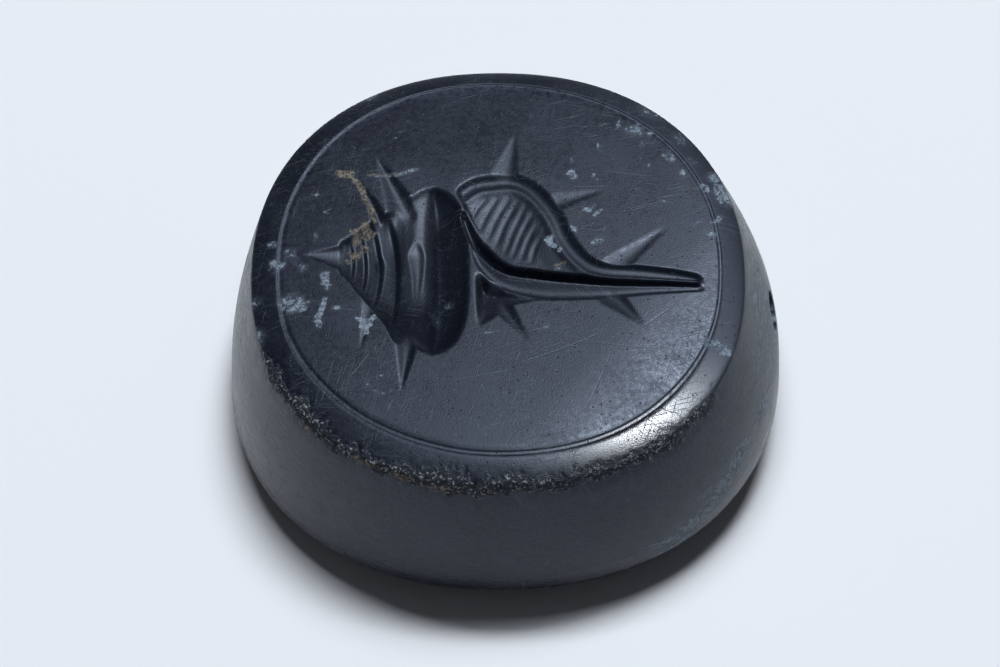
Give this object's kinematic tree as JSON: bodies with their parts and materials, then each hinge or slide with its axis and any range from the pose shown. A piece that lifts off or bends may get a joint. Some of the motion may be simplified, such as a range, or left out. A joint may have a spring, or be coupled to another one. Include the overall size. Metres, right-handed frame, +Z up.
{
  "type": "engraved seal stone",
  "caption": "Round black stone seal with flaring sides and a domed back, a murex shell sunk into its bordered face, and a string hole through its sides.",
  "frame": {"origin": "middle of the flat spot under the domed back, below the middle of the widest line", "axes": "+Z up through the engraved face, +X along the string hole towards the tip of the shell's canal, +Y up the face"},
  "size_m": [0.02, 0.0186, 0.0088],
  "materials": {
    "black_stone": "worn polish, chipped along the front edge"
  },
  "bodies": {
    "root": {"seal_stone": "black_stone"}
  },
  "joints": []
}
